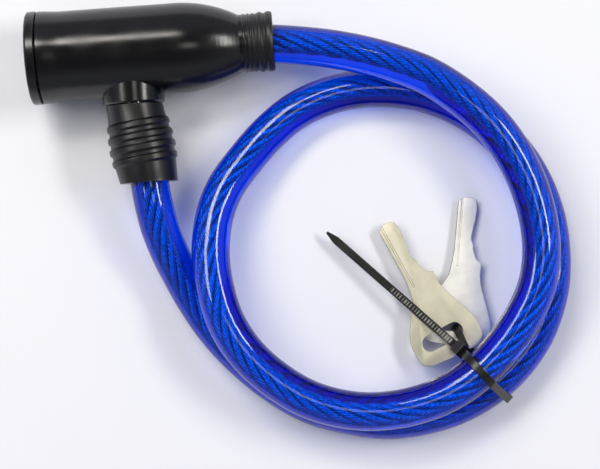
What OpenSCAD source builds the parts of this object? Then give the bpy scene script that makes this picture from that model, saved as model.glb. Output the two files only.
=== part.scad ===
// Spiral cable lock: a key-operated T-shaped head, a sleeved steel cable in nearly two turns,
// a ribbed plug that goes into the head's side, and two keys on a cable tie.
// Millimetres. X runs along the head from its key face to the cable's mouth, -Y is the way
// the plug comes out, and Z is up from the surface that the lock lies on.

/* [Head] */
// Length of the head, from the key face to the cable's mouth
head_len = 76; // [74:0.5:82]
// Outer diameter of the soft cover
cover_d = 28; // [27.4:0.2:30]
// Wall of the soft cover
cover_wall = 1.9; // [1.5:0.1:2.2]
// How much the cover widens at its key end, on the radius
flare = 0.4; // [0:0.1:0.8]
// Length of the round shoulder between the barrel and the neck
shoulder_len = 19.5; // [17:0.5:21]
// Length of the ribbed neck
neck_len = 10.5; // [9:0.5:12]
// Outer diameter of the neck between its ribs
neck_d = 17.8; // [17.2:0.2:19]
// Bore of the neck, wider than the cable
neck_bore_d = 14.5; // [13.8:0.1:15]
// Thickness of the key end's cap
cap_t = 3; // [2.6:0.1:3.6]
// How far the cap stands out past the cover, on the radius
cap_lip = 0.5; // [0.2:0.1:0.9]
// Diameter of the side stub that takes the plug
stub_d = 19.2; // [18.4:0.2:20.6]
// Distance from the head's axis to the face of the side stub
stub_reach = 16.4; // [15.8:0.1:18]
// Distance from the key face to the plug's axis
socket_x = 31.3; // [31:0.1:34]

/* [Cylinder] */
// Diameter of the turning core
core_d = 12; // [11.6:0.1:12.8]
// Thickness of a wafer
wafer_t = 0.9; // [0.7:0.05:1.1]
// Spacing of the wafers, and of the cuts in the key
wafer_pitch = 3; // [2.7:0.05:3.1]
// Width of a wafer
wafer_w = 5; // [4.6:0.1:5.2]
// How far a wafer comes out of the core
wafer_travel = 0.7; // [0.4:0.05:0.9]
// Radial clearance of the core in its shell
run_fit = 0.05; // [0.03:0.01:0.08]
// Clearance between pieces that are fixed to each other
fixed_fit = 0.1; // [0.05:0.01:0.15]

/* [Cable] */
// Outer diameter of the cable's sleeve
cable_d = 12; // [11:0.1:12]
// Diameter of the steel rope inside the sleeve
rope_d = 5.5; // [4.5:0.1:5.8]
// Outer diameter of the crimped ferrule in the head
ferrule_d = 10; // [9:0.2:10.6]

/* [Plug] */
// Diameter of the plug's steel pin
pin_d = 8; // [7.4:0.1:8.6]
// Diameter of the pin's waist, where the cam holds it
waist_d = 4.4; // [3.8:0.1:5]
// Diameter of the grip at its top face
grip_top_d = 17.6; // [17:0.2:18.6]
// Diameter over the grip's widest rib
grip_d = 20.8; // [20:0.2:22]
// Diameter of the grip at its cable end
grip_end_d = 17.8; // [16.4:0.2:19]
// Length of the grip
grip_len = 24.2; // [23:0.2:26]
// Spacing of the grip's ribs
rib_pitch = 3.65; // [3.2:0.05:3.8]
// Height of the grip's ribs
rib_h = 0.6; // [0.3:0.1:0.9]

/* [Keys] */
// Thickness of a key
key_t = 2; // [1.8:0.1:2.2]
// Height of the uncut blade
blade_h = 6.1; // [5.6:0.1:6.4]
// Length of the blade, from its tip to the shoulder
blade_len = 20; // [19:0.5:22]
// Length of the bow, from the shoulder to its end
bow_len = 27.5; // [26.5:0.5:29.5]
// Width of the bow
bow_w = 22.8; // [21:0.2:24]
// Width of the slot in the bow
slot_w = 5.2; // [5:0.1:5.6]
// Length of the slot in the bow
slot_len = 13.8; // [13:0.2:15]

/* [Cable tie] */
// Width of the tie's strap
tie_w = 2.5; // [2.2:0.1:2.8]
// Thickness of the tie's strap
tie_t = 1; // [0.8:0.05:1.05]

/* [Hidden] */
$fn = 48;
eps = 0.01;
fine = 72;

// Head, measured from the key face along its axis
cover_r = cover_d / 2;
cover_in = cover_r - cover_wall;
cap_r = cover_r + cap_lip;
cap_gap = 0.35;
cap_edge = 0.7;
cap_dish = 0.5;
spigot_len = 3;
neck_r = neck_d / 2;
neck_in = neck_bore_d / 2;
neck_x = head_len - neck_len;
shoulder_x = neck_x - shoulder_len;
shoulder_drop = cover_r - neck_r;
shoulder_r = (shoulder_len * shoulder_len + shoulder_drop * shoulder_drop) / (2 * shoulder_drop);
shoulder_a = asin(shoulder_len / shoulder_r);
shoulder_in_r = shoulder_r - cover_wall;
shoulder_in_a = acos((neck_in - cover_r + shoulder_r) / shoulder_in_r);
flare_len = 7;
stub_r = stub_d / 2;
stub_draft = 0.4;
stub_edge = 0.5;
boss_r = stub_r - cover_wall;

// The row's frame: origin at the middle of the head's foot
head_r = max(cap_r, cover_r + flare);
axis_y = (stub_reach - head_r) / 2;
axis_z = head_r;

// Plug, measured from the head's axis towards -Y
pin_r = pin_d / 2;
pin_tip = 10.3;
pin_head = 3;
pin_nose = 1.3;
waist_end = -1.5;
waist_start = pin_tip - pin_head;
socket_fit = 0.06;
socket_depth = pin_tip + 0.5;
plug_gap = 0.4;
grip_y = stub_reach + plug_gap;
grip_lean = 7;
grip_wall_top = 1.4;
flange_r = 5.9;
flange_t = 1.8;
tail_r = 3;
tail_len = 5;
grip_cavity_r = 6.6;
grip_widest = 13.6;
ribs = 4;
rib_first = 6.3;
sleeve_depth = 4.8;
sleeve_start = grip_len - sleeve_depth;
cable_fit = 0.15;
plug_ferrule_r = 5.6;
plug_ferrule_start = 4.6;
plug_ferrule_end = sleeve_start - 0.8;

// Cylinder, measured from the key face
face_x = 0.6;
collar_r = core_d / 2 + 1;
flange_core_r = core_d / 2 + 0.5;
core_r = core_d / 2;
shell_gap = 1;
body_r = cover_in - fixed_fit;
// The shell's wall is thicker than the body's wall round it by this much
shell_extra = 1;
shell_r = (core_r + body_r + shell_extra) / 2;
core_end = 21;
flange_core_x = 1.5;
collar_x = 0.9;
tail_core_r = 3.9;
clip_t = 0.8;
clip_r = core_r + 1.2;
cam_x = core_end + 1.2;
cam_t = 2.2;
cam_r = 7.6;
lug_in = pin_r;
lug_out = 7;
lug_w = 3;
lug_end = socket_x - waist_d / 2 - 0.25;
square_w = 4.6;
screw_r = 1.25;
screw_head_r = 2.3;
screw_head_t = 1.3;
first_wafer = 5;
wafers = 5;
wafer_slot_fit = 0.05;
slot_t = wafer_t + 2 * wafer_slot_fit;
ear_fit = 0.15;
window_w = key_t + 0.5;
window_h = blade_h + 0.6;
ear_w = 1.1;
ear_h = 1;
ear_z = 0.9;
spring_r = 0.4;
spring_len = 2.1;
keyway_w = key_t + 0.3;
keyway_h = blade_h + 0.4;
keyway_end = first_wafer + wafers * wafer_pitch;
groove_depth = wafer_travel + 0.35;
pin_hole_fit = 0.05;
shell_pin_r = 1;
shell_pin_x = 18.6;
ferrule_r = ferrule_d / 2;
ferrule_x = shoulder_x - 1;
ferrule_len = 18.5;
ferrule_pin_r = 1.2;
ferrule_pin_x = shoulder_x + 7;
ferrule_neck = 0.8;
ferrule_pin_z = ferrule_r + ferrule_pin_r - ferrule_neck + pin_hole_fit;
ferrule_cup = 1.6;
ferrule_taper = 1.5;
body_tail = 13;
body_end = shoulder_x + body_tail;
body_x = cap_t + spigot_len + 0.2;
body_clear = 0.5;
body_end_r = cover_r - shoulder_r + sqrt(pow(shoulder_in_r, 2) - pow(body_tail, 2)) - body_clear;
bore_step = 0.3;
bore_over = 1;
pin_sink = 2;
cam_room = 0.5;

// Key, measured from the blade's tip
key_groove_w = 0.6;
key_groove_d = 0.45;
key_groove_y = -1.8;
ward_fit = 0.15;
cut_depths = [0.1, 0.3, 0.75, 1.1, 0.25];
cut_flat = 1.3;
shoulder_up = 2.8;
shoulder_down = 0.4;
slot_u = blade_len + bow_len - 7.4;
slot_off = -1.6;
key_1_at = [84.34, -95.42, 4.58];
key_1_turn = [0, -4.4, -65.4];
key_2_at = [87.98, -91.23, 1.48];
key_2_turn = [0, -1.9, -99.4];

// The cable's own route: a free cord that lies in nearly two turns
route = [[26.5, 1, 14.5], [33, 0.6, 14.5], [39.5, -0.1, 14.5], [47, -1.2, 14.6], [55.5, -2.8, 14.9],
    [64.5, -5.2, 15.6], [74, -8.6, 16.7], [85, -13.8, 17.9], [96, -22.2, 18.6], [104.5, -31.5, 18.6],
    [111, -43, 18.3], [115, -56, 18.1], [116, -69, 18.1], [113.8, -80.7, 18], [108, -91.5, 17.8],
    [99.5, -101.5, 17.7], [89, -109.5, 18.1], [77, -114.3, 18.6], [64, -116, 18.6],
    [52, -114.7, 18.6], [40.5, -110.5, 18.5], [30.5, -103.5, 18.5], [22.5, -95, 18.4],
    [17, -85, 18.3], [14.3, -74, 17.2], [13.7, -63, 15], [15.6, -52, 12.4], [19.8, -43, 10.4],
    [26.2, -35.2, 8.8], [34, -27.4, 7.5], [43, -20.9, 6.6], [53, -17, 6], [64, -15.4, 6],
    [76, -16.2, 6], [88, -19.7, 6], [100, -26.8, 6], [109.5, -36.5, 6], [116, -47.5, 6],
    [119.8, -60, 6], [120.5, -73, 6.3], [118.4, -85.2, 6.8], [112.6, -97.7, 7.2],
    [103, -108.3, 7.4], [91.5, -115.4, 7.2], [79.5, -119.2, 6.8], [66, -120.3, 6.3],
    [53.5, -118, 6], [41, -113.5, 6], [30, -106, 6], [20.5, -97, 6], [13, -87.5, 6.1],
    [7.5, -78, 6.9], [3.6, -69.5, 8.6], [0.6, -62, 10.8], [-1.6, -54.5, 13], [-2.9, -47, 14.5],
    [-3.6, -41, 14.5], [-4.3, -35.1, 14.5]];
// Where the route's two ends were set; they follow the head and the plug if those change
mouth_was = [38, 0.95, 14.5];
plug_was = [-4.34, -35.1, 14.5];
mouth_now = [head_len / 2, axis_y, axis_z];
plug_now = on_grip_line(sleeve_start);
mouth_reach = 8;
plug_reach = 12;
rope_in = [ferrule_x + 2 - head_len / 2, axis_y, axis_z];
rope_out = on_grip_line(plug_ferrule_start + 5.6);
cable_sides = 12;
rope_sides = 8;
sleeve_in_r = rope_d / 2 + 0.25;

// The tie's own frame: t runs out from the middle of the coil, s runs across the strap
tie_origin = [89.8, -99.9, 0];
tie_out = [0.7, -0.714, 0];
tie_side = [0.714, 0.7, 0];
pass_top = [7.3, 17.85];
pass_low = [14.6, 7.36];
tie_skew = [-0.2, -1.7, -0.9];
tie_ring = cable_d / 2 + 0.32 + tie_t / 2;
tie_floor = pass_low[1] - tie_ring;
tie_bend = 12;
tie_head = [4.2, 4.6, 3.6];
tie_head_at = [-1.3, 14.2];
tie_head_tilt = 58;
tie_tip_w = 0.8;

function unit(v) = v / norm(v);
function rise(t) = t * t * (3 - 2 * t);
function fade(t) = rise(min(1, max(0, t)));
function on_grip_line(s) = [socket_x - head_len / 2 + s * sin(grip_lean),
    axis_y - grip_y - s * cos(grip_lean), axis_z];
function settled(i) = route[i] + (mouth_now - mouth_was) * fade(1 - (i - 2) / mouth_reach)
    + (plug_now - plug_was) * fade(1 - (len(route) - 3 - i) / plug_reach);
function bezier(a, b, c, d, n) = [for (i = [0 : n]) let (t = i / n, u = 1 - t)
    u * u * u * a + 3 * u * u * t * b + 3 * u * t * t * c + t * t * t * d];
function direction(p, i) = unit(p[min(i + 1, len(p) - 1)] - p[max(i - 1, 0)]);
function ring(p, i, r, sides) = let (
    along = direction(p, i),
    across = unit(cross([0, 0, 1], along)),
    up = cross(along, across))
    [for (k = [0 : sides - 1]) p[i] + r * (across * sin(360 * k / sides) - up * cos(360 * k / sides))];
function flat_rings(p, r, sides) = [for (i = [0 : len(p) - 1]) for (q = ring(p, i, r, sides)) q];
function wall_faces(rings, sides, start, inward) = [for (i = [0 : rings - 2]) for (k = [0 : sides - 1])
    for (half = [0, 1]) let (
        a = start + i * sides + k,
        b = start + i * sides + (k + 1) % sides,
        c = b + sides,
        d = a + sides,
        f = half == 0 ? [a, b, c] : [a, c, d])
        inward ? f : [f[2], f[1], f[0]]];
function spaced(p, n) = [for (i = [0 : len(p) - 2]) for (k = [0 : n - 1])
    p[i] + (p[i + 1] - p[i]) * k / n];

// One tube of the given radius along a route
module swept_rod(p, r, sides) {
    n = len(p);
    last = (n - 1) * sides;
    polyhedron(
        points = flat_rings(p, r, sides),
        faces = concat(
            wall_faces(n, sides, 0, false),
            [[for (k = [0 : sides - 1]) k]],
            [[for (k = [sides - 1 : -1 : 0]) last + k]]),
        convexity = 6);
}

// The same with a bore, closed by a flat ring at each end
module swept_tube(p, r_out, r_in, sides) {
    n = len(p);
    inner = n * sides;
    last = (n - 1) * sides;
    polyhedron(
        points = concat(flat_rings(p, r_out, sides), flat_rings(p, r_in, sides)),
        faces = concat(
            wall_faces(n, sides, 0, false),
            wall_faces(n, sides, inner, true),
            [for (k = [0 : sides - 1]) [k, inner + (k + 1) % sides, inner + k]],
            [for (k = [0 : sides - 1]) [k, (k + 1) % sides, inner + (k + 1) % sides]],
            [for (k = [0 : sides - 1]) [last + k, inner + last + (k + 1) % sides, last + (k + 1) % sides]],
            [for (k = [0 : sides - 1]) [last + k, inner + last + k, inner + last + (k + 1) % sides]]),
        convexity = 6);
}

cable_path = [for (i = [0 : len(route) - 1]) settled(i)];

// Least gap of the cable to itself, between stretches that aren't next to each other
gap_step = 4;
gap_skip = 60;
trail = spaced(cable_path, gap_step);
gaps = [for (i = [0 : 2 : len(trail) - gap_skip - 1]) for (j = [i + gap_skip : len(trail) - 1])
    norm(trail[i] - trail[j])];
echo("least gap of the cable to itself", min(gaps) - cable_d);
function length_to(p, i) = i == 0 ? 0 : length_to(p, i - 1) + norm(p[i] - p[i - 1]);
echo("length of the cable", length_to(cable_path, len(cable_path) - 1));

// Places a piece that is drawn with the head's axis along +Z, key face at z = 0
module on_axis() {
    translate([-head_len / 2, axis_y, axis_z]) rotate([0, 90, 0]) children();
}

// Places a piece that is drawn in head coordinates: x from the key face, y and z from the axis
module in_head() {
    translate([-head_len / 2, axis_y, axis_z]) children();
}

// Places a piece that is drawn along +Z as the plug's axis, from the head's axis outward
module on_plug() {
    in_head() translate([socket_x, 0, 0]) rotate([90, 0, 0]) children();
}

// Places a piece on the grip's own axis, which leans towards the coil
module on_grip() {
    in_head() translate([socket_x, -grip_y, 0]) rotate([90, 0, grip_lean]) children();
}

function rib(x, r, h, w) = [for (i = [0 : 6]) [r + h * sin(30 * i), x - w / 2 + w * i / 6]];

function cover_outline() = concat(
    [[cover_in, cap_t + cap_gap], [cover_r + flare - 0.3, cap_t + cap_gap]],
    [for (i = [0 : 8]) [cover_r + flare * (1 - rise(i / 8)), cap_t + cap_gap + 0.3 + flare_len * i / 8]],
    [for (i = [0 : 16]) let (a = shoulder_a * i / 16)
        [cover_r - shoulder_r * (1 - cos(a)), shoulder_x + shoulder_r * sin(a)]],
    rib(neck_x + 1.6, neck_r, 0.25, 1),
    rib(neck_x + 3, neck_r, 0.25, 1),
    rib(neck_x + 4.4, neck_r, 0.25, 1),
    rib(neck_x + 6.6, neck_r, 0.45, 2),
    [[neck_r, head_len - 2.4], [neck_r + 0.4, head_len - 1.8], [neck_r + 0.5, head_len - 0.9],
        [neck_r + 0.2, head_len - 0.2], [neck_r - 0.2, head_len], [neck_in + 0.3, head_len],
        [neck_in, head_len - 0.4], [0, head_len - 0.4], [0, cap_t + cap_gap]]);

function cover_hollow() = concat(
    [[0, 0], [cover_in, 0], [cover_in, shoulder_x]],
    [for (i = [1 : 12]) let (a = shoulder_in_a * i / 12)
        [cover_r - shoulder_r + shoulder_in_r * cos(a), shoulder_x + shoulder_in_r * sin(a)]],
    [[neck_in, head_len + 1], [0, head_len + 1]]);

// Soft moulded cover: barrel, round shoulder, ribbed neck and the side stub
module housing_cover() {
    color([0.07, 0.07, 0.07]) difference() {
        union() {
            on_axis() rotate_extrude($fn = fine) polygon(cover_outline());
            on_plug() rotate_extrude($fn = fine) polygon([[0, 6], [stub_r + stub_draft, 6],
                [stub_r, stub_reach - stub_edge], [stub_r - stub_edge, stub_reach], [0, stub_reach]]);
        }
        on_axis() rotate_extrude($fn = fine) polygon(cover_hollow());
        on_plug() cylinder(r = boss_r + fixed_fit, h = stub_reach + 1, $fn = fine);
    }
}

// Cap at the key end, with a dished face and a spigot inside the cover
module end_cap() {
    color([0.06, 0.06, 0.06]) on_axis() rotate_extrude($fn = fine) polygon([
        [collar_r + 0.2, cap_dish], [cap_r - 3.2, cap_dish], [cap_r - 2.6, 0], [cap_r - cap_edge, 0],
        [cap_r - 0.2, 0.25], [cap_r, cap_edge], [cap_r, cap_t - 0.2], [cap_r - 0.2, cap_t],
        [cover_in - fixed_fit, cap_t], [cover_in - fixed_fit, cap_t + spigot_len],
        [shell_r + shell_gap, cap_t + spigot_len],
        [shell_r + shell_gap, cap_t], [collar_r + 0.2, cap_t]]);
}

// Die-cast body: front bore for the cylinder, cam room, side socket and rear bore
module lock_body() {
    cam_room_end = lug_end + cam_room;
    color([0.62, 0.62, 0.6]) difference() {
        union() {
            on_axis() rotate_extrude($fn = fine) polygon([[0, body_x], [body_r, body_x],
                [body_r, shoulder_x], [body_end_r, body_end], [0, body_end]]);
            on_plug() cylinder(r = boss_r, h = stub_reach - 0.1, $fn = fine);
        }
        on_axis() cylinder(r = shell_r + fixed_fit, h = core_end + bore_step, $fn = fine);
        on_axis() cylinder(r = cam_r + cam_room, h = cam_room_end, $fn = fine);
        on_axis() translate([0, 0, ferrule_x - 1])
            cylinder(r = ferrule_r + fixed_fit, h = body_end, $fn = fine);
        on_plug() translate([0, 0, -socket_depth])
            cylinder(r = pin_r + socket_fit, h = socket_depth + stub_reach + bore_over, $fn = fine);
        in_head() translate([shell_pin_x, 0, shell_r - pin_sink])
            cylinder(r = shell_pin_r + pin_hole_fit, h = cover_r);
        in_head() translate([ferrule_pin_x, cover_r, ferrule_pin_z]) rotate([90, 0, 0])
            cylinder(r = ferrule_pin_r + pin_hole_fit, h = cover_d);
    }
}

// Shell of the lock cylinder, with a groove for the wafers at each end of the core's turn
module cylinder_shell() {
    groove_from = first_wafer - wafer_t;
    groove_len = (wafers - 1) * wafer_pitch + 2 * wafer_t;
    groove_w = wafer_w + 0.6;
    color([0.7, 0.66, 0.5]) difference() {
        on_axis() rotate_extrude($fn = fine) polygon([
            [core_r + run_fit, flange_core_x + 0.1], [flange_core_r + run_fit, flange_core_x + 0.1],
            [flange_core_r + run_fit, collar_x], [collar_r, collar_x], [collar_r, cap_t + 0.2],
            [shell_r, cap_t + 0.2], [shell_r, core_end - 0.1], [core_r + run_fit, core_end - 0.1]]);
        in_head() translate([groove_from, -groove_w / 2, -core_r - groove_depth])
            cube([groove_len, groove_w, core_r]);
        in_head() translate([groove_from, groove_depth, -groove_w / 2])
            cube([groove_len, core_r, groove_w]);
        in_head() translate([shell_pin_x, 0, shell_r - pin_sink])
            cylinder(r = shell_pin_r + pin_hole_fit, h = 2 * pin_sink);
    }
}

// Pin that keeps the shell in the body
module shell_pin() {
    color([0.75, 0.75, 0.76]) in_head() translate([shell_pin_x, 0, shell_r - pin_sink + 0.1])
        cylinder(r = shell_pin_r, h = body_r - shell_r + pin_sink - bore_step);
}

// Ferrule crimped on the rope's end, with the neck that its pin lies in
module cable_ferrule() {
    neck_floor = ferrule_r - ferrule_neck;
    color([0.66, 0.67, 0.69]) on_axis() rotate_extrude() polygon([
        [0, ferrule_x], [ferrule_r - 0.5, ferrule_x], [ferrule_r, ferrule_x + 0.5],
        [ferrule_r, ferrule_pin_x - ferrule_pin_r - 0.1], [neck_floor, ferrule_pin_x - ferrule_pin_r - 0.1],
        [neck_floor, ferrule_pin_x + ferrule_pin_r + 0.1], [ferrule_r, ferrule_pin_x + ferrule_pin_r + 0.1],
        [ferrule_r, ferrule_x + ferrule_len - ferrule_taper], [ferrule_r - 1, ferrule_x + ferrule_len],
        [rope_d / 2 + 0.05, ferrule_x + ferrule_len], [rope_d / 2 + 0.05, ferrule_x + ferrule_cup],
        [0, ferrule_x + ferrule_cup]]);
}

// Cross pin that keeps the ferrule in the body
module ferrule_pin() {
    body_here = body_r + (body_end_r - body_r) * (ferrule_pin_x - shoulder_x) / body_tail;
    half = sqrt(pow(body_here, 2) - pow(ferrule_pin_z + ferrule_pin_r, 2)) - 0.2;
    color([0.75, 0.75, 0.76]) in_head() translate([ferrule_pin_x, half, ferrule_pin_z])
        rotate([90, 0, 0]) cylinder(r = ferrule_pin_r, h = 2 * half);
}

// Clear blue sleeve of the cable
module cable_sleeve() {
    color([0.05, 0.2, 0.85, 0.6]) swept_tube(cable_path, cable_d / 2, sleeve_in_r, cable_sides);
}

// Steel rope inside the sleeve
module wire_rope() {
    color([0.55, 0.6, 0.75]) swept_rod(concat([rope_in], cable_path, [rope_out]), rope_d / 2, rope_sides);
}

// Core that the key turns, with its keyway, wafer slots and a square drive for the cam
module cylinder_core() {
    color([0.8, 0.72, 0.45]) difference() {
        union() {
            on_axis() rotate_extrude($fn = fine) polygon([[0, face_x], [flange_core_r - 0.2, face_x],
                [flange_core_r, face_x + 0.2], [flange_core_r, flange_core_x], [core_r, flange_core_x],
                [core_r, core_end],
                [tail_core_r, core_end], [tail_core_r, cam_x - 0.1], [0, cam_x - 0.1]]);
            in_head() translate([core_end, -square_w / 2, -square_w / 2])
                cube([cam_x + cam_t - core_end - 0.1, square_w, square_w]);
        }
        in_head() translate([0, -keyway_w / 2, -keyway_h / 2]) cube([keyway_end, keyway_w, keyway_h]);
        for (i = [0 : wafers - 1]) in_head() translate([first_wafer + i * wafer_pitch, 0, 0]) {
            cube([slot_t, wafer_w + 2 * wafer_slot_fit, 2 * core_r + 1], center = true);
            translate([-slot_t / 2, 0, ear_z - wafer_travel - ear_fit])
                cube([slot_t, wafer_w / 2 + ear_w + 0.1, wafer_travel + ear_h + spring_len + 2 * ear_fit]);
        }
        on_axis() cylinder(r = screw_r, h = cam_x + cam_t);
    }
    // Ward that runs in the key's groove, so that no other blank goes in
    ward_w = key_groove_w - 2 * ward_fit;
    color([0.8, 0.72, 0.45]) in_head()
        translate([face_x, keyway_w / 2 - key_groove_d + ward_fit, key_groove_y - ward_w / 2])
            cube([first_wafer - 1 - face_x, key_groove_d, ward_w]);
}

// One wafer, at its place along the core, level with the core's own round
module wafer(i) {
    lift = [0.2, 0, -0.2, 0.1, -0.1][i];
    color([0.85, 0.75, 0.4]) in_head() translate([first_wafer + i * wafer_pitch, 0, 0]) difference() {
        union() {
            intersection() {
                rotate([0, 90, 0]) cylinder(r = core_r - 0.05, h = wafer_t, center = true, $fn = fine);
                cube([wafer_t, wafer_w, 2 * core_r], center = true);
            }
            translate([-wafer_t / 2, wafer_w / 2 - 0.5, ear_z]) cube([wafer_t, ear_w + 0.5, ear_h]);
        }
        translate([0, 0, lift]) cube([wafer_t + 1, window_w, window_h], center = true);
    }
}

// Springs that push the wafers out
module wafer_springs() {
    color([0.75, 0.75, 0.78]) for (i = [0 : wafers - 1])
        in_head() translate([first_wafer + i * wafer_pitch, wafer_w / 2 + ear_w / 2, ear_z + ear_h + 0.05])
            cylinder(r = spring_r, h = spring_len, $fn = 16);
}

// Clip that keeps the core in its shell
module retaining_clip() {
    color([0.35, 0.36, 0.38]) difference() {
        on_axis() translate([0, 0, core_end + 0.1]) difference() {
            cylinder(r = clip_r, h = clip_t);
            translate([0, 0, -1]) cylinder(r = tail_core_r + 0.05, h = clip_t + 2);
        }
        in_head() translate([core_end, -1.5, 0]) cube([clip_t + 1, 3, clip_r + 1]);
    }
}

// Cam on the core's tail: a disc with a lug that swings into the plug pin's waist
module locking_cam() {
    color([0.68, 0.68, 0.7]) difference() {
        union() {
            on_axis() translate([0, 0, cam_x]) cylinder(r = cam_r, h = cam_t, $fn = fine);
            intersection() {
                on_axis() translate([0, 0, cam_x]) cylinder(r = lug_out, h = lug_end - cam_x, $fn = fine);
                in_head() translate([cam_x, -lug_w / 2, -lug_out])
                    cube([lug_end - cam_x, lug_w, lug_out - lug_in]);
            }
        }
        in_head() translate([cam_x - 1, -square_w / 2 - 0.05, -square_w / 2 - 0.05])
            cube([cam_t + 2, square_w + 0.1, square_w + 0.1]);
    }
}

// Screw that holds the cam on the core
module cam_screw() {
    color([0.75, 0.75, 0.76]) on_axis() difference() {
        union() {
            translate([0, 0, cam_x + cam_t + 0.02])
                cylinder(r1 = screw_head_r + 0.7, r2 = screw_head_r, h = screw_head_t);
            translate([0, 0, core_end - 2]) cylinder(r = screw_r - 0.05, h = cam_t + 3.5, $fn = 32);
        }
        translate([-0.3, -2, cam_x + cam_t + screw_head_t - 0.6]) cube([0.6, 4, 1]);
    }
}

// Steel pin of the plug, with a round nose, a waist and a flange inside the grip
module plug_pin() {
    flange_s = grip_y + grip_wall_top + 0.2;
    tail_s = flange_s + flange_t;
    color([0.72, 0.73, 0.75]) on_plug() rotate_extrude($fn = fine) polygon(concat(
        [for (i = [0 : 6]) let (a = 15 * i)
            [pin_r - pin_nose + pin_nose * sin(a), -pin_tip + pin_nose * (1 - cos(a))]],
        [[pin_r, -waist_start], [waist_d / 2, -waist_start + 0.2], [waist_d / 2, waist_end - 1],
            [pin_r, waist_end], [pin_r, flange_s], [flange_r, flange_s], [flange_r, tail_s],
            [tail_r, tail_s], [tail_r, tail_s + tail_len], [0, tail_s + tail_len], [0, -pin_tip]]));
}

// Ferrule crimped over the pin's tail and the rope's end
module plug_ferrule() {
    tail_bore = tail_r + 1.1;
    rope_bore = rope_d / 2 + 0.06;
    step = plug_ferrule_start + 4.6;
    color([0.66, 0.67, 0.69]) on_grip() rotate_extrude() polygon([
        [tail_bore, plug_ferrule_start], [plug_ferrule_r, plug_ferrule_start],
        [plug_ferrule_r, plug_ferrule_end - 1], [plug_ferrule_r - 1, plug_ferrule_end],
        [rope_bore, plug_ferrule_end], [rope_bore, step], [tail_bore, step]]);
}

// Smooth outline of the grip without its ribs: it swells towards the ribs and draws in below
function grip_r(s) = s < grip_widest ?
    grip_top_d / 2 + (grip_d / 2 - rib_h - grip_top_d / 2) * rise(s / grip_widest) :
    grip_d / 2 - rib_h
        - (grip_d / 2 - rib_h - grip_end_d / 2) * pow((s - grip_widest) / (grip_len - grip_widest), 1.6);
function grip_bump(s) = max([for (i = [0 : ribs - 1])
    let (d = abs(s - rib_first - i * rib_pitch) / (rib_pitch * 0.36)) d < 1 ? min(1, 2.2 * (1 - d)) : 0]);

// Ribbed moulded grip; its ends are square to the plug while its body leans
module plug_grip() {
    steps = 88;
    reach = grip_len + 4;
    color([0.06, 0.06, 0.06]) difference() {
        intersection() {
            on_grip() rotate_extrude($fn = fine) polygon(concat(
                [[0, -2], [grip_top_d / 2, -2]],
                [for (i = [0 : steps]) let (s = grip_len * i / steps) [grip_r(s) + rib_h * grip_bump(s), s]],
                [[grip_end_d / 2 - 0.2, reach], [0, reach]]));
            in_head() translate([socket_x - grip_d, -grip_y - grip_len, -grip_d])
                cube([2 * grip_d, grip_len, 2 * grip_d]);
        }
        on_plug() cylinder(r = pin_r + 0.15, h = grip_y + 3);
        on_grip() translate([0, 0, grip_wall_top])
            cylinder(r = grip_cavity_r, h = sleeve_start - grip_wall_top - 0.3);
        on_grip() cylinder(r = cable_d / 2 + cable_fit, h = reach + 1);
        on_grip() translate([0, 0, -3]) cylinder(r = pin_r + 0.5, h = 4.5);
    }
}

// Outline of a key: a blade with its cuts, shoulders and a wide bow that leans to one side
function cut_u(i) = blade_len + face_x - first_wafer - i * wafer_pitch;
function key_outline() = let (
    top = blade_h / 2,
    end = blade_len + bow_len,
    side = bow_w / 2) concat(
    [[1.4, -top], [0.4, -top + 1.4], [0, -top + 2.7], [0.1, top - 1.7], [0.9, top - 0.5]],
    [for (i = [wafers - 1 : -1 : 0]) for (h = [-1, 1])
        [cut_u(i) + h * cut_flat / 2, top - cut_depths[wafers - 1 - i]]],
    [[blade_len - 2.4, top + 0.3], [blade_len - 0.5, top + 1], [blade_len + 0.5, top + shoulder_up]],
    bezier([blade_len + 5, top + shoulder_up], [blade_len + 9, top + shoulder_up + 0.3],
        [end - 12, side - 1.5], [end - 7.3, side - 0.9], 10),
    bezier([end - 6.3, side - 0.8], [end - 2.3, side - 0.8], [end - 0.2, side - 1.8], [end, side - 5.8], 8),
    bezier([end, side - 8.2], [end, 0], [end - 0.2, -side + 9], [end - 0.8, -side + 3.2], 6),
    bezier([end - 1.5, -side + 1.6], [end - 2.3, -side - 0.1],
        [end - 3.9, -side - 0.4], [end - 6.3, -side - 0.4], 8),
    bezier([end - 8.5, -side - 0.3], [end - 13.5, -side - 0.2], [blade_len + 8.5, -top - 2.25],
        [blade_len + 5, -top - 1.05], 10),
    [[blade_len + 1, -top - shoulder_down], [blade_len - 3, -top]]);

// A key, with the middle of its slot at the origin
module key() {
    half = slot_len / 2 - slot_w / 2;
    color([0.78, 0.76, 0.68]) translate([-slot_u, -slot_off, 0]) difference() {
        linear_extrude(key_t) polygon(key_outline());
        translate([slot_u, slot_off, -1]) {
            translate([-slot_w / 2, -half, 0]) cube([slot_w, 2 * half, key_t + 2]);
            for (h = [-1, 1]) translate([0, h * half, 0]) cylinder(r = slot_w / 2, h = key_t + 2);
        }
        for (z = [-eps, key_t - key_groove_d + eps])
            translate([-1, key_groove_y - key_groove_w / 2, z])
                cube([blade_len + 3, key_groove_w, key_groove_d]);
    }
}

// Key on top, with its blade towards the head
module key_1() {
    translate(key_1_at) rotate(key_1_turn) key();
}

// Key underneath
module key_2() {
    translate(key_2_at) rotate(key_2_turn) key();
}

function tie_point(q) = tie_origin + tie_out * q[0] + [0, 0, q[1]] + tie_side * q[2];
function round_pass(c, from, to, skew_from, skew_to) = [for (i = [0 : tie_bend])
    let (a = from + (to - from) * i / tie_bend)
    [c[0] + tie_ring * cos(a), c[1] + tie_ring * sin(a), skew_from + (skew_to - skew_from) * i / tie_bend]];
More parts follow.
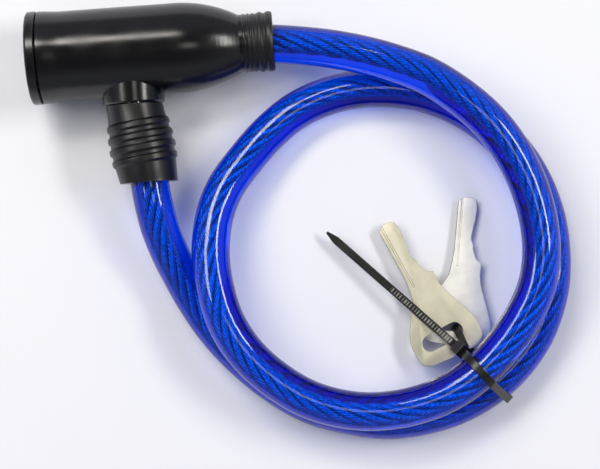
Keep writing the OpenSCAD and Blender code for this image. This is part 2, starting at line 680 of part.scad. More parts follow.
// Angle at which the strap leaves one pass for the other, straight across their outside
tie_slope = atan2(pass_low[1] - pass_top[1], pass_low[0] - pass_top[0]) + 90;
tie_route = concat(
    [[-56.4, 4, 0], [-54, 4.15, 0], [-48, 4.5, 0], [-30, 6.3, 0], [-18, 7.4, 0], [-9, 8.6, 0], [-5, 10, 0],
        [-2.9, 11.9, 0], [-1.3, 14.2, 0], [0, 16.4, -0.1]],
    round_pass(pass_top, 168, tie_slope, tie_skew[0], tie_skew[1]),
    round_pass(pass_low, tie_slope, -90, tie_skew[1], tie_skew[2]),
    [[10, tie_floor, 0.1], [4, tie_floor, 1.9], [-1.2, tie_floor, 3.4],
        [-3.8, 0.6, 4.2], [-5.4, 1.1, 4.5], [-6.1, 2.2, 4.5], [-6.1, 3.6, 4.45], [-5.8, 5.6, 4.3],
        [-5.1, 7.4, 4.1], [-4.2, 9, 3.6], [-2.8, 10.2, 2.8], [-1.2, 11.4, 2], [0.2, 12.8, 1.3]]);
tie_path = [for (q = tie_route) tie_point(q)];
function tie_width(i) = i == 0 ? tie_tip_w : i == 1 ? tie_w * 0.7 : tie_w;
function tie_section(i) = let (
    along = direction(tie_path, i),
    thick = unit(cross(tie_side, along)),
    w = tie_width(i) / 2,
    t = tie_t / 2)
    [for (c = [[-1, -1], [1, -1], [1, 1], [-1, 1]]) tie_path[i] + tie_side * w * c[0] + thick * t * c[1]];

// Cable tie round both passes of the cable and through the keys' slots
module cable_tie() {
    n = len(tie_path);
    color([0.05, 0.05, 0.05]) {
        polyhedron(
            points = [for (i = [0 : n - 1]) for (q = tie_section(i)) q],
            faces = concat(
                wall_faces(n, 4, 0, true),
                [[3, 2, 1, 0]],
                [[4 * n - 4, 4 * n - 3, 4 * n - 2, 4 * n - 1]]),
            convexity = 6);
        translate(tie_point([tie_head_at[0], tie_head_at[1], 0]))
            rotate([0, -tie_head_tilt, atan2(tie_out[1], tie_out[0])]) cube(tie_head, center = true);
    }
}

housing_cover();
end_cap();
lock_body();
cylinder_shell();
shell_pin();
cable_ferrule();
ferrule_pin();
cable_sleeve();
wire_rope();
cable_tie();
cylinder_core();
wafer(0);  // wafer_1
wafer(1);  // wafer_2
wafer(2);  // wafer_3
wafer(3);  // wafer_4
wafer(4);  // wafer_5
wafer_springs();
retaining_clip();
locking_cam();
cam_screw();
plug_pin();
plug_ferrule();
plug_grip();
key_1();
key_2();
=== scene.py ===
# %% [markdown]
# # A spiral cable lock, seen from straight above
#
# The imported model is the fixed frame, and this lesson dresses it. It adds what the model can't
# hold: a clear blue sleeve over a laid wire rope, moulded black covers, nickel-plated keys and a
# ladder-strap cable tie. Everything is in metres, in the model's own frame, and a helper takes
# millimetres only where it says so.

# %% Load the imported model
import math

import bmesh
import bpy
import numpy as np
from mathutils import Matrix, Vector


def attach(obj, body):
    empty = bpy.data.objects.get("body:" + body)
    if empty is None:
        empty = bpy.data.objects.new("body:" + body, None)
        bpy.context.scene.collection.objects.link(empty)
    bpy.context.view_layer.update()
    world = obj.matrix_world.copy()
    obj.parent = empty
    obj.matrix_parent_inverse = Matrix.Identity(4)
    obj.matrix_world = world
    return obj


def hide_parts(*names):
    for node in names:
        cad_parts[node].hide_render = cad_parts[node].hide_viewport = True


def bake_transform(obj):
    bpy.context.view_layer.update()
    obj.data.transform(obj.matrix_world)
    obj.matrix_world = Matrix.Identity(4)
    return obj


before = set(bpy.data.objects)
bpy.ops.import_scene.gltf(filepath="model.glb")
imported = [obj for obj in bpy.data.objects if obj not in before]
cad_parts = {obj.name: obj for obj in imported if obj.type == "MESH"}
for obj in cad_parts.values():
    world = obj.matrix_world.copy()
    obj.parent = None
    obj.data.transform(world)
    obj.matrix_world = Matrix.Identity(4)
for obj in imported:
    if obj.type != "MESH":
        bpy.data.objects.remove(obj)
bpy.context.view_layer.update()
MM = 0.001

# %% [markdown]
# ## The camera
#
# A flat, coiled thing shows best from straight above. The camera could be level with the head's
# axis, but a slight turn of 4.2 degrees makes the barrel rise to the right. A long lens, 600 mm
# above the table, keeps the coil round.

# %% Camera
LENS_MM = 112.86
CAMERA_AT = (0.041794, -0.059721, 0.6)
CAMERA_TURN = -4.2
scene = bpy.context.scene
camera_data = bpy.data.cameras.new("camera")
camera_data.lens = LENS_MM
camera_data.sensor_width = 36.0
camera = bpy.data.objects.new("camera", camera_data)
camera.location = CAMERA_AT
camera.rotation_euler = (0, 0, math.radians(CAMERA_TURN))
scene.collection.objects.link(camera)
scene.camera = camera
scene.view_settings.view_transform = "Standard"
print("camera at", tuple(round(v, 3) for v in camera.location))

# %% [markdown]
# ## Small tools
#
# Shader trees are long to write by hand, so one function adds a node with its settings and its
# links. Colours are written as sRGB hex, as a paint chart gives them, and turned to linear.


# %% Colours and shader nodes
def linear(colour):
    """An sRGB hex colour as the linear RGBA that shaders take."""
    srgb = [int(colour[i : i + 2], 16) / 255 for i in (1, 3, 5)]
    return tuple(c / 12.92 if c <= 0.04045 else ((c + 0.055) / 1.055) ** 2.4 for c in srgb) + (1.0,)


def add(tree, kind, values=None, **settings):
    """One shader node. values fills its inputs by name: a plain value, or another node's output."""
    node = tree.nodes.new("ShaderNode" + kind)
    for key, value in settings.items():
        setattr(node, key, value)
    for key, value in (values or {}).items():
        socket = node.inputs[key]
        if isinstance(value, bpy.types.NodeSocket):
            tree.links.new(value, socket)
        else:
            socket.default_value = value
    return node


def ramp(tree, factor, *stops):
    """A colour ramp through (position, hex colour) stops."""
    node = add(tree, "ValToRGB", {"Fac": factor})
    elements = node.color_ramp.elements
    while len(elements) < len(stops):
        elements.new(0.5)
    for element, (position, colour) in zip(elements, stops):
        element.position = position
        element.color = linear(colour)
    return node.outputs["Color"]


def new_material(name):
    material = bpy.data.materials.new(name)
    material.use_nodes = True
    material.node_tree.nodes.clear()
    return material, material.node_tree


def use_surface(tree, shader):
    out = tree.nodes.new("ShaderNodeOutputMaterial")
    tree.links.new(shader, out.inputs["Surface"])


def grain(tree, size_mm, detail=3.0, stretch=(1, 1, 1), roughness=0.5):
    """Noise in the model's own coordinates, with features of about size_mm."""
    coords = add(tree, "TexCoord").outputs["Object"]
    scale = [s / (size_mm * MM) for s in stretch]
    mapped = add(tree, "Mapping", {"Vector": coords, "Scale": scale}).outputs["Vector"]
    noise = add(tree, "TexNoise", {"Vector": mapped, "Scale": 1.0, "Detail": detail,
                                   "Roughness": roughness})
    return noise.outputs["Fac"]


def spread(tree, value, low, high, to_low, to_high):
    """value from low..high, mapped to to_low..to_high and held there beyond them."""
    node = add(tree, "MapRange", {"Value": value, "From Min": low, "From Max": high,
                                  "To Min": to_low, "To Max": to_high})
    return node.outputs["Result"]


# %% Meshes from arrays of points
def put(name, points, faces, uvs=None, smooth=True):
    """A mesh object of these points and faces; uvs has one pair for each point."""
    mesh = bpy.data.meshes.new(name)
    mesh.from_pydata(np.asarray(points).tolist(), [], faces)
    if uvs is not None:
        layer = mesh.uv_layers.new(name="UVMap")
        corner_points = np.empty(len(mesh.loops), dtype=np.int32)
        mesh.loops.foreach_get("vertex_index", corner_points)
        layer.data.foreach_set("uv", np.asarray(uvs, dtype=np.float32)[corner_points].ravel())
    mesh.polygons.foreach_set("use_smooth", [smooth] * len(mesh.polygons))
    mesh.update()
    piece = bpy.data.objects.new(name, mesh)
    scene.collection.objects.link(piece)
    return piece


def catmull(points, steps):
    """A smooth line through all the points."""
    p = np.asarray(points, dtype=float)
    p = np.vstack([2 * p[0] - p[1], p, 2 * p[-1] - p[-2]])
    t = (np.arange(steps) / steps)[:, None]
    out = []
    for a, b, c, d in zip(p[:-3], p[1:-2], p[2:-1], p[3:]):
        out.append(0.5 * (2 * b + (c - a) * t + (2 * a - 5 * b + 4 * c - d) * t**2
                          + (3 * b - a - 3 * c + d) * t**3))
    return np.vstack(out + [p[-2:-1]])


def unit(v):
    return v / np.linalg.norm(v, axis=-1, keepdims=True)


def frames(line):
    """Directions along, across and up at each point of a line that never stands upright."""
    along = unit(np.gradient(line, axis=0))
    across = unit(np.cross([0.0, 0.0, 1.0], along))
    return along, across, np.cross(along, across)


def arc_length(line):
    return np.concatenate([[0.0], np.cumsum(np.linalg.norm(np.diff(line, axis=0), axis=1))])


def skin(rings):
    """Faces between rings of the same number of points, with both ends closed."""
    n, k = rings.shape[:2]
    i, j = np.meshgrid(np.arange(n - 1), np.arange(k), indexing="ij")
    a, b = i * k + j, i * k + (j + 1) % k
    faces = np.stack([a, b, b + k, a + k], axis=-1).reshape(-1, 4).tolist()
    return faces + [list(range(k))[::-1], list(range((n - 1) * k, n * k))]


def rings_round(line, angles, radii):
    """Rings round a line: angles and radii have a row for each point of it, or one for all."""
    _, across, up = frames(line)
    angles, radii = np.broadcast_arrays(np.atleast_2d(angles), np.atleast_2d(radii))
    return line[:, None] + radii[..., None] * (across[:, None] * np.cos(angles)[..., None]
                                               + up[:, None] * np.sin(angles)[..., None])


# %% [markdown]
# ## The cable
#
# The cable leaves the head's mouth, lies in nearly two turns and goes into the plug's grip. Its
# route is a list of points that the model's own cable follows too. The clear sleeve is one tube
# with the rope inside it. As the sleeve is a lens, the rope looks half as wide again.

# %% The cable's route, in millimetres
ROUTE = [
    (26.5, 1, 14.5), (33, 0.6, 14.5), (39.5, -0.1, 14.5), (47, -1.2, 14.6), (55.5, -2.8, 14.9),
    (64.5, -5.2, 15.6), (74, -8.6, 16.7), (85, -13.8, 17.9), (96, -22.2, 18.6), (104.5, -31.5, 18.6),
    (111, -43, 18.3), (115, -56, 18.1), (116, -69, 18.1), (113.8, -80.7, 18), (108, -91.5, 17.8),
    (99.5, -101.5, 17.7), (89, -109.5, 18.1), (77, -114.3, 18.6), (64, -116, 18.6), (52, -114.7, 18.6),
    (40.5, -110.5, 18.5), (30.5, -103.5, 18.5), (22.5, -95, 18.4), (17, -85, 18.3), (14.3, -74, 17.2),
    (13.7, -63, 15), (15.6, -52, 12.4), (19.8, -43, 10.4), (26.2, -35.2, 8.8), (34, -27.4, 7.5),
    (43, -20.9, 6.6), (53, -17, 6), (64, -15.4, 6), (76, -16.2, 6), (88, -19.7, 6), (100, -26.8, 6),
    (109.5, -36.5, 6), (116, -47.5, 6), (119.8, -60, 6), (120.5, -73, 6.3), (118.4, -85.2, 6.8),
    (112.6, -97.7, 7.2), (103, -108.3, 7.4), (91.5, -115.4, 7.2), (79.5, -119.2, 6.8), (66, -120.3, 6.3),
    (53.5, -118, 6), (41, -113.5, 6), (30, -106, 6), (20.5, -97, 6), (13, -87.5, 6.1), (7.5, -78, 6.9),
    (3.6, -69.5, 8.6), (0.6, -62, 10.8), (-1.6, -54.5, 13), (-2.9, -47, 14.5), (-3.6, -41, 14.5),
    (-4.3, -35.1, 14.5),
]
ROPE_START = [(9, 1, 14.5), (18, 1, 14.5)]
ROPE_END = [(-5.4, -26, 14.5)]
COIL_MIDDLE = (65.0, -68.0, 0.0)

cable_line = catmull(ROUTE, 10) * MM
print("cable", round(arc_length(cable_line)[-1], 4), "m long")

# %% The sleeve
CABLE_R = 6.0 * MM
SLEEVE_SIDES = 64


def sleeve_tube():
    angles = 2 * math.pi * np.arange(SLEEVE_SIDES) / SLEEVE_SIDES
    rings = rings_round(cable_line, angles, CABLE_R)
    return put("clear_sleeve", rings.reshape(-1, 3), skin(rings))


sleeve = sleeve_tube()
print("sleeve", len(sleeve.data.polygons), "faces")

# %% [markdown]
# ## The wire rope
#
# Six strands are laid to the right round each other, and six wires are laid to the left round
# the core of each strand. The lay could be a bump on a plain rod, but a lens shows it enlarged,
# so every wire is real geometry: a strand's section has six lobes, and it turns as it goes on.
# Real wires are finer; they are drawn this coarse so that they show.

# %% Strands
ROPE_R = 2.6 * MM
STRANDS = 6
STRAND_R = 0.87 * MM
ROPE_LAY = 40.0 * MM
WIRES = 6
WIRE_LAY = 9.0 * MM
ROPE_SHIFT = 0.85 * MM
# Metres from either end at which the shift begins, and over which it grows
SHIFT_FROM, SHIFT_OVER = 0.014, 0.022
# One wire's share of a strand's outline: radius as a share of STRAND_R, and the crown's painted
# brightness, which is low in the grooves between wires as a painted shade
WIRE_PROFILE = [(1.0, 1.0), (0.94, 0.7), (0.7, 0.2), (0.94, 0.7)]


def rope_middle():
    """The rope's own line: in a bend it lies a little to the outside of its sleeve."""
    line = catmull(ROPE_START + ROUTE + ROPE_END, 12) * MM
    outward = line - np.array(COIL_MIDDLE) * MM
    outward[:, 2] = 0
    s = arc_length(line)
    ease = np.clip((np.minimum(s, s[-1] - s) - SHIFT_FROM) / SHIFT_OVER, 0, 1)
    return line + unit(outward) * (ROPE_SHIFT * ease * ease * (3 - 2 * ease))[:, None]


def strand(number, middle):
    """One strand: its lobed section winds round the rope while it turns the other way."""
    s = arc_length(middle)
    _, across, up = frames(middle)
    turn = 2 * math.pi * (number / STRANDS + s / ROPE_LAY)
    line = middle + (ROPE_R - STRAND_R) * (across * np.cos(turn)[:, None] + up * np.sin(turn)[:, None])
    sides = WIRES * len(WIRE_PROFILE)
    profile = np.array(WIRE_PROFILE * WIRES)
    angles = 2 * math.pi * (np.arange(sides)[None] / sides - s[:, None] / WIRE_LAY)
    rings = rings_round(line, angles, profile[:, 0] * STRAND_R)
    # Painted shade: a strand is painted darker on its side towards the rope's core
    outward = 0.5 + 0.5 * np.cos(angles - turn[:, None])
    uvs = np.stack(np.broadcast_arrays(profile[None, :, 1] * outward, s[:, None] / MM), axis=-1)
    return put(f"strand_{number + 1}", rings.reshape(-1, 3), skin(rings), uvs.reshape(-1, 2))


rope_line = rope_middle()
strands = [strand(i, rope_line) for i in range(STRANDS)]
for piece in [sleeve] + strands:
    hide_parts("cable_sleeve" if piece is sleeve else "wire_rope")
print("rope of", len(strands), "strands,", WIRES, "outer wires each")

# %% [markdown]
# ## Clear blue PVC and galvanised wire
#
# The sleeve is soft PVC, extruded and dyed through. PVC's IOR is about 1.54, and the value here is
# a little lower, because a plain glass shader makes the rims too bright. Its skin is glossy.
# A glass shader shows the rope through it, and for lamp light it turns to a plain tinted filter,
# so that the rope inside is lit without waiting for caustics. At its rims the eye looks through
# more of the dyed wall and sees the shaded table under the cable, so a layer weight makes the
# blue deeper and darker there: partly the dye, partly painted shade.


# %% Sleeve material
def clear_blue_pvc():
    material, tree = new_material("clear_blue_pvc")
    wave = add(tree, "Bump", {"Height": grain(tree, 11.0, detail=1.0), "Strength": 0.1, "Distance": 0.0004})
    rim = add(tree, "LayerWeight", {"Blend": 0.5}).outputs["Facing"]
    # Deeper, darker blue toward the rims: partly the dye's longer path, partly painted shade
    dye_and_rim_shade = ramp(tree, rim, (0.0, "#0044fa"), (0.45, "#003ce6"), (0.75, "#021f90"), (1.0, "#040c4c"))
    clear = add(tree, "BsdfPrincipled", {
        "Base Color": dye_and_rim_shade, "Roughness": 0.08, "IOR": 1.48, "Transmission Weight": 1.0,
        "Normal": wave.outputs["Normal"]})
    passing = add(tree, "BsdfTransparent", {"Color": linear("#b6bcd6")})
    lamp = add(tree, "LightPath").outputs["Is Shadow Ray"]
    both = add(tree, "MixShader", {"Fac": lamp})
    tree.links.new(clear.outputs["BSDF"], both.inputs[1])
    tree.links.new(passing.outputs["BSDF"], both.inputs[2])
    use_surface(tree, both.outputs["Shader"])
    return material


# %% Wire material
def galvanised_wire():
    """Bright zinc on the crowns of the wires; darker in the grooves between wires and on the strands' sides
    towards the core, partly grease and partly painted shade.
    """
    material, tree = new_material("galvanised_wire")
    uv = add(tree, "TexCoord").outputs["UV"]
    # UV x is a painted level: low in the grooves and towards the rope's core, where shade falls
    painted_crown = add(tree, "SeparateXYZ", {"Vector": uv}).outputs["X"]
    colour = ramp(tree, painted_crown, (0.0, "#858d99"), (0.4, "#cdd2dc"), (1.0, "#ffffff"))
    patch = grain(tree, 1.0, detail=3.0)
    toned = add(tree, "Mix", {"Factor": spread(tree, patch, 0.4, 0.65, 0.0, 0.5), "A": colour,
                              "B": linear("#6a707c")}, data_type="RGBA")
    wire = add(tree, "BsdfPrincipled", {
        "Base Color": toned.outputs["Result"], "Metallic": 0.6, "Roughness": 0.24})
    use_surface(tree, wire.outputs["BSDF"])
    return material


sleeve.data.materials.append(clear_blue_pvc())
wire_finish = galvanised_wire()
for piece in strands:
    piece.data.materials.append(wire_finish)

# %% [markdown]
# ## What the frame must know of the cable
#
# The cable is a free cord from the head's mouth to the plug. Its sleeve and strands bend between
# the head and the plug, so that they follow the plug when it is pulled.

for piece in [sleeve] + strands:
    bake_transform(piece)

# %% [markdown]
# ## Moulded black parts
#
# The cover and the grip are soft satin PVC with faint scuffs from handling. The cap is harder
# ABS from a polished mould, and glossier. The metal parts inside are die cast, turned or plated.


# %% Black plastics
def black_plastic(name, tone, roughness, scuff, dull_from=None):
    """Moulded plastic: fine grain, cloudy gloss and a few long pale scuffs.

    dull_from is the x in mm from which the piece is duller."""
    material, tree = new_material(name)
    scratch = grain(tree, 1.3, detail=5.0, stretch=(0.16, 1.0, 1.0), roughness=0.7)
    colour = add(tree, "Mix", {"Factor": spread(tree, scratch, 0.64, 0.78, 0.0, 1.0),
                               "A": linear(tone), "B": linear(scuff)}, data_type="RGBA")
    gloss = spread(tree, grain(tree, 7.0), 0.3, 0.7, roughness - 0.04, roughness + 0.06)
    if dull_from is not None:
        place = add(tree, "SeparateXYZ", {"Vector": add(tree, "TexCoord").outputs["Object"]})
        dull = spread(tree, place.outputs["X"], dull_from * MM, (dull_from + 3) * MM, 0.0, 0.2)
        gloss = add(tree, "Math", {0: gloss, 1: dull}, operation="ADD").outputs[0]
    relief = add(tree, "Bump", {"Height": grain(tree, 0.35, detail=4.0), "Strength": 0.15,
                                "Distance": 0.00008})
    shader = add(tree, "BsdfPrincipled", {
        "Base Color": colour.outputs["Result"], "Roughness": gloss, "IOR": 1.5,
        "Normal": relief.outputs["Normal"]})
    use_surface(tree, shader.outputs["BSDF"])
    return material


# %% Metals
def metal(name, tone, roughness, brushed=(1, 1, 1), size=1.2, cloud=0.8, bump=0.1, upright_shade=None):
    """A metal whose gloss runs in fine lines and whose tone is a little cloudy.

    The last argument is a painted shade: the tone of the faces that stand upright."""
    material, tree = new_material(name)
    lines = grain(tree, size, detail=5.0, stretch=brushed, roughness=0.65)
    base = linear(tone)
    dim = tuple(cloud * c for c in base[:3]) + (1.0,)
    colour = add(tree, "Mix", {"Factor": spread(tree, grain(tree, 6.0, detail=2.0), 0.35, 0.65, 0.0, 1.0),
                               "A": dim, "B": base}, data_type="RGBA")
    if upright_shade is not None:
        # Painted shade: faces that stand upright get the darker tone
        normal = add(tree, "SeparateXYZ", {"Vector": add(tree, "TexCoord").outputs["Normal"]})
        flat = add(tree, "Math", {0: normal.outputs["Z"]}, operation="ABSOLUTE").outputs[0]
        colour = add(tree, "Mix", {"Factor": spread(tree, flat, 0.8, 0.995, 1.0, 0.0),
                                   "A": colour.outputs["Result"], "B": linear(upright_shade)}, data_type="RGBA")
    gloss = spread(tree, lines, 0.3, 0.7, roughness * 0.75, roughness * 1.3)
    relief = add(tree, "Bump", {"Height": lines, "Strength": bump, "Distance": 0.00005})
    shader = add(tree, "BsdfPrincipled", {
        "Base Color": colour.outputs["Result"], "Metallic": 1.0, "Roughness": gloss,
        "Normal": relief.outputs["Normal"]})
    use_surface(tree, shader.outputs["BSDF"])
    return material


# %% Finishes of the model's own pieces
soft_black = black_plastic("soft_black_pvc", "#0a0a0b", 0.2, "#232325", dull_from=29.0)
FINISHES = {
    "housing_cover": soft_black,
    "plug_grip": black_plastic("ribbed_black_pvc", "#0c0c0d", 0.34, "#232325"),
    "end_cap": black_plastic("hard_black_abs", "#090909", 0.24, "#171718"),
    "lock_body": metal("diecast_zinc", "#9b9b98", 0.45, size=0.8, bump=0.3),
    "cylinder_shell": metal("turned_brass", "#c9b27a", 0.3, brushed=(4, 1, 1)),
    "cylinder_core": metal("plated_core", "#d5cdb8", 0.26, brushed=(4, 1, 1)),
    "plug_pin": metal("plated_pin", "#d9dade", 0.16, brushed=(1, 5, 1), bump=0.05),
    "cable_ferrule": metal("crimped_aluminium", "#b4b6ba", 0.4, bump=0.3),
    "retaining_clip": metal("black_spring_steel", "#4b4c50", 0.35),
    "locking_cam": metal("zinc_plate", "#b9bbb8", 0.35),
    "wafer_springs": metal("spring_wire", "#c4c6ca", 0.25),
    "wafer_1": metal("stamped_brass", "#d2b15e", 0.33),
    "shell_pin": metal("ground_steel", "#c2c4c8", 0.28),
}
SAME_AS = {"plug_ferrule": "cable_ferrule", "cam_screw": "shell_pin", "ferrule_pin": "shell_pin",
           "wafer_2": "wafer_1", "wafer_3": "wafer_1", "wafer_4": "wafer_1", "wafer_5": "wafer_1"}
for name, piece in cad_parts.items():
    finish = FINISHES.get(SAME_AS.get(name, name))
    if finish is not None:
        for slot in piece.material_slots:
            slot.material = finish
print("finishes on", len(FINISHES) + len(SAME_AS), "model nodes")

# %% [markdown]
# ## Keys
#
# A key is stamped from brass sheet, cut, tumbled and nickel plated. Tumbling rounds its edges, and
# a rounded edge is what catches the light, so each key is a copy of the model's with a small bevel.
# The cut sides, the groove's walls and the bevels are painted a dark brown shade.


# %% Keys
def rounded_copy(node, name, width_mm):
    """A copy of a model node with its sharp edges rounded."""
    work = bmesh.new()
    work.from_mesh(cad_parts[node].data)
    bmesh.ops.remove_doubles(work, verts=work.verts, dist=1e-7)
    bmesh.ops.dissolve_limit(work, angle_limit=math.radians(2), verts=work.verts, edges=work.edges)
    sharp = [e for e in work.edges if len(e.link_faces) == 2 and e.calc_face_angle(0) > math.radians(50)]
    bmesh.ops.bevel(work, geom=sharp, offset=width_mm * MM, segments=3, profile=0.6, affect="EDGES",
                    clamp_overlap=True)
    mesh = bpy.data.meshes.new(name)
    work.to_mesh(mesh)
    work.free()
    mesh.polygons.foreach_set("use_smooth", [True] * len(mesh.polygons))
    mesh.set_sharp_from_angle(angle=math.radians(32))
    piece = bpy.data.objects.new(name, mesh)
    scene.collection.objects.link(piece)
    return piece


keys = {}
KEY_BEVEL = 0.14
# A painted shade: the dark brown tone of the cut sides, the groove's walls and the bevels
PAINTED_SIDE_SHADE = "#2b2114"
# Body, plating tone and roughness of each key. Key_2's whiter tone is partly painted light:
# it stands in for the brighter light that key_2's flat top mirrors.
KEY_FINISH = {"key_1": ("key_a", "#e8e3cc", 0.38), "key_2": ("key_b", "#fffdf6", 0.44)}
for node, (body, tone, roughness) in KEY_FINISH.items():
    key = rounded_copy(node, node + "_plated", KEY_BEVEL)
    key.data.materials.append(metal(node + "_nickel", tone, roughness, brushed=(0.5, 3, 1), size=0.7,
                                    cloud=0.88, upright_shade=PAINTED_SIDE_SHADE))
    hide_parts(node)
    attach(key, body)
    keys[node] = key
print("keys", list(keys))

# %% [markdown]
# ## Cable tie
#
# The strap starts at its head, goes over both turns of the cable and under them, comes up through
# the keys, passes through the head and ends in a long tail. Its teeth face in round the loop, so
# they show only on top of the tail, where their crowns are painted light grey as a painted
# highlight. It is moulded nylon: dark, with a slight gloss on its edges.

# %% The strap's line: t away from the coil's middle, height, and s across, in millimetres
TIE_ORIGIN = np.array([89.8, -99.9, 0.0])
TIE_OUT = np.array([0.7, -0.714, 0.0])
TIE_SIDE = np.array([0.714, 0.7, 0.0])
UP = np.array([0.0, 0.0, 1.0])
PASS_TOP, PASS_LOW, TIE_RING = (7.3, 17.85), (14.6, 7.36), 6.82
TIE_SKEW = (-0.2, -1.7, -0.9)
TIE_W, TIE_T = 2.5, 1.0
slope = math.degrees(math.atan2(PASS_LOW[1] - PASS_TOP[1], PASS_LOW[0] - PASS_TOP[0])) + 90
floor_z = PASS_LOW[1] - TIE_RING


def round_pass(centre, start, stop, side_start, side_stop, steps=12):
    """Points of the strap round one pass of the cable."""
    share = np.linspace(0, 1, steps + 1)
    a = np.radians(start + (stop - start) * share)
    return np.stack([centre[0] + TIE_RING * np.cos(a), centre[1] + TIE_RING * np.sin(a),
                     side_start + (side_stop - side_start) * share], axis=1).tolist()


TAIL = [(-56.4, 4, 0), (-54, 4.15, 0), (-48, 4.5, 0), (-30, 6.3, 0), (-18, 7.4, 0), (-9, 8.6, 0),
        (-5, 10, 0), (-2.9, 11.9, 0), (-1.3, 14.2, 0), (0, 16.4, -0.1)]
OVER = round_pass(PASS_TOP, 168, slope, *TIE_SKEW[:2]) + round_pass(PASS_LOW, slope, -90, *TIE_SKEW[1:])
BACK = [(10, floor_z, 0.1), (4, floor_z, 1.9), (-1.2, floor_z, 3.4), (-3.8, 0.6, 4.2), (-5.4, 1.1, 4.5),
        (-6.1, 2.2, 4.5), (-6.1, 3.6, 4.45), (-5.8, 5.6, 4.3), (-5.1, 7.4, 4.1), (-4.2, 9, 3.6),
        (-2.8, 10.2, 2.8), (-1.2, 11.4, 2), (0.2, 12.8, 1.3)]


def tie_world(points):
    p = np.asarray(points, dtype=float)
    return (TIE_ORIGIN + TIE_OUT * p[:, :1] + UP * p[:, 1:2] + TIE_SIDE * p[:, 2:3]) * MM


# %% Strap
# The tip: its share of the width and thickness, and the length that adds one whole share, in mm
TIP_W, TIP_W_OVER = 0.3, 5.5
TIP_T, TIP_T_OVER = 0.5, 16.0
TOOTH = 1.06
TEETH_FROM, TEETH_TO = 27.0, 52.5
# Half a strap's section from edge to groove: share of the half width, share of the half thickness
STRAP_SECTION = [(-1, -0.84), (-0.84, -1), (0.84, -1), (1, -0.84), (1, 0.84), (0.84, 1), (0.62, 1),
                 (0.58, 0), (-0.58, 0), (-0.62, 1), (-0.84, 1), (-1, 0.84)]
# The middle face of that section: a tooth's crown, or the floor between two teeth
GROOVE = 7


def strap():
    """The strap: a flat section whose groove is crossed by teeth on the tail."""
    line = catmull(tie_world(TAIL + OVER + BACK), 10)
    dense = arc_length(line)
    s = np.arange(0, dense[-1], TOOTH * MM / 6)
    line = np.stack([np.interp(s, dense, line[:, i]) for i in range(3)], axis=1)
    s = s / MM
    along = unit(np.gradient(line, axis=0))
    thick = unit(np.cross(TIE_SIDE, along))
    width = TIE_W / 2 * np.clip(TIP_W + s / TIP_W_OVER, 0, 1)
    half = TIE_T / 2 * np.clip(TIP_T + s / TIP_T_OVER, 0, 1)
    toothed = (s > TEETH_FROM) & (s < TEETH_TO)
    tooth = np.mod(s, TOOTH) < 0.5 * TOOTH
    rings = np.empty((len(line), len(STRAP_SECTION), 3))
    for k, (a, b) in enumerate(STRAP_SECTION):
        high = half * (b if b else np.where(toothed & ~tooth, 0.3, 1.0))
        rings[:, k] = line + (TIE_SIDE * (width * a)[:, None] - thick * high[:, None]) * MM
    piece = put("tie_strap", rings.reshape(-1, 3), skin(rings), smooth=False)
    # The crowns of the tail's teeth take the second material, a light grey painted highlight
    painted_crown = np.zeros((len(line) - 1, len(STRAP_SECTION)), dtype=np.int32)
    painted_crown[:, GROOVE] = (toothed & tooth)[:-1]
    piece.data.polygons.foreach_set("material_index", painted_crown.ravel().tolist() + [0, 0])
    print("strap", round(dense[-1] / MM), "mm long")
    return piece


# %% Head of the tie
HEAD_MIDDLE = (-1.3, 14.2, 0)
HEAD_TILT = math.radians(-58)
HEAD_SIZE = (3.9, 4.3, 3.5)


def tie_head():
    """The tie's head: a rounded box, a little wider at its foot."""
    work = bmesh.new()
    bmesh.ops.create_cube(work, size=1.0)
    for v in work.verts:
        foot = 1.06 if v.co.z > 0 else 0.94
        v.co = Vector((v.co.x * HEAD_SIZE[0] * foot, v.co.y * HEAD_SIZE[1], v.co.z * HEAD_SIZE[2]))
    bmesh.ops.bevel(work, geom=work.edges[:], offset=0.5, segments=3, profile=0.6, affect="EDGES")
    mesh = bpy.data.meshes.new("tie_head")
    work.to_mesh(mesh)
    work.free()
    middle = tie_world([HEAD_MIDDLE])[0]
    x_axis = TIE_OUT * math.cos(HEAD_TILT) - UP * math.sin(HEAD_TILT)
    z_axis = TIE_OUT * math.sin(HEAD_TILT) + UP * math.cos(HEAD_TILT)
    for v in mesh.vertices:
        x, y, z = v.co
        v.co = Vector(middle + (x_axis * x + TIE_SIDE * y + z_axis * z) * MM)
    mesh.polygons.foreach_set("use_smooth", [True] * len(mesh.polygons))
    mesh.set_sharp_from_angle(angle=math.radians(40))
    piece = bpy.data.objects.new("tie_head", mesh)
    scene.collection.objects.link(piece)
    return piece


nylon = black_plastic("black_nylon", "#0e0d0d", 0.34, "#181617")
# A light grey painted highlight for the crowns of the teeth, with scuffs
tooth_highlight_nylon = black_plastic("nylon_tooth_highlight", "#8e8b84", 0.35, "#a5a29a")
for piece in (strap(), tie_head()):
    piece.data.materials.append(nylon)
    piece.data.materials.append(tooth_highlight_nylon)
    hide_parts("cable_tie")
    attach(piece, "head")

# %% [markdown]
# ## Table and light
#
# A matt white table shows the shadows. Three long narrow lamps, high on the left, on the right and
# at the back, give the long white streaks on the cable. A small fourth one stands where the flat
# keys mirror it. A soft sky, darker straight above, fills the shadows with a cool tone.


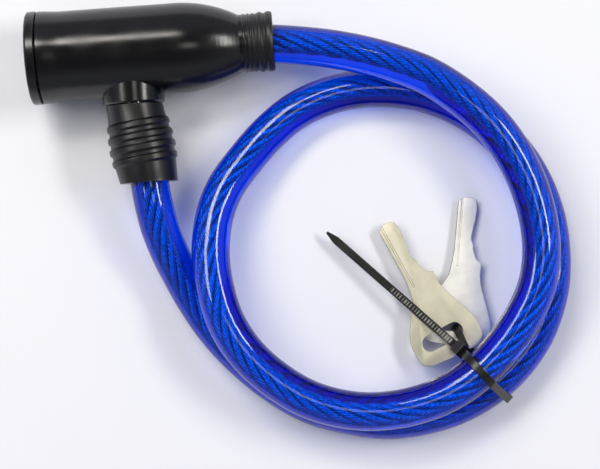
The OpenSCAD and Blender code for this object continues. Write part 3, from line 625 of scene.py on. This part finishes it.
# %% Table
def table():
    material, tree = new_material("white_table")
    colour = add(tree, "Mix", {"Factor": grain(tree, 60.0, detail=2.0), "A": linear("#f2f3f9"),
                               "B": linear("#f6f7fb")}, data_type="RGBA")
    diffuse = add(tree, "BsdfDiffuse", {"Color": colour.outputs["Result"]})
    use_surface(tree, diffuse.outputs["BSDF"])
    size, low = 1.5, -0.0001
    corners = [(-size, -size, low), (size, -size, low), (size, size, low), (-size, size, low)]
    floor = put("table", corners, [(0, 1, 2, 3)], smooth=False)
    floor.data.materials.append(material)


table()

# %% Lamps
MIDDLE = Vector((0.045, -0.06, 0.0))


def lamp(name, azimuth, tilt, distance, size, radiance, colour="#ffffff"):
    """A rectangular lamp aimed at the lock's middle: azimuth from +X, tilt from straight up."""
    turn, lean = math.radians(azimuth), math.radians(tilt)
    way = Vector((math.sin(lean) * math.cos(turn), math.sin(lean) * math.sin(turn), math.cos(lean)))
    data = bpy.data.lights.new(name, "AREA")
    data.shape = "RECTANGLE"
    data.size, data.size_y = size
    data.energy = math.pi * size[0] * size[1] * radiance
    data.color = linear(colour)[:3]
    piece = bpy.data.objects.new(name, data)
    piece.location = MIDDLE + distance * way
    piece.rotation_euler = (-way).to_track_quat("-Z", "Y").to_euler()
    piece.visible_camera = False
    scene.collection.objects.link(piece)
    return piece


lamp("left_lamp", 140, 37, 1.2, (1.02, 0.25), 10, "#fffdf8")
lamp("right_lamp", 14, 43, 1.2, (0.56, 0.2), 15.5, "#fffdf8")
lamp("back_lamp", 108, 33, 1.2, (0.38, 0.16), 10.5, "#fffaf0")
CARD_AT = (0.205, -0.02, 1.2)
card = lamp("key_card", 0, 0, 1.2, (0.25, 0.25), 2.8, "#fffdf5")
card.location = CARD_AT


# %% Sky
def sky():
    world = bpy.data.worlds.new("studio")
    scene.world = world
    world.use_nodes = True
    tree = world.node_tree
    tree.nodes.clear()
    way = add(tree, "TexCoord").outputs["Generated"]
    height = add(tree, "SeparateXYZ", {"Vector": way}).outputs["Z"]
    colour = ramp(tree, height, (0.0, "#9395a0"), (0.5, "#a8aab8"), (0.8, "#66676e"), (1.0, "#54555b"))
    light = add(tree, "Background", {"Color": colour, "Strength": 1.0})
    out = tree.nodes.new("ShaderNodeOutputWorld")
    tree.links.new(light.outputs[0], out.inputs["Surface"])


sky()
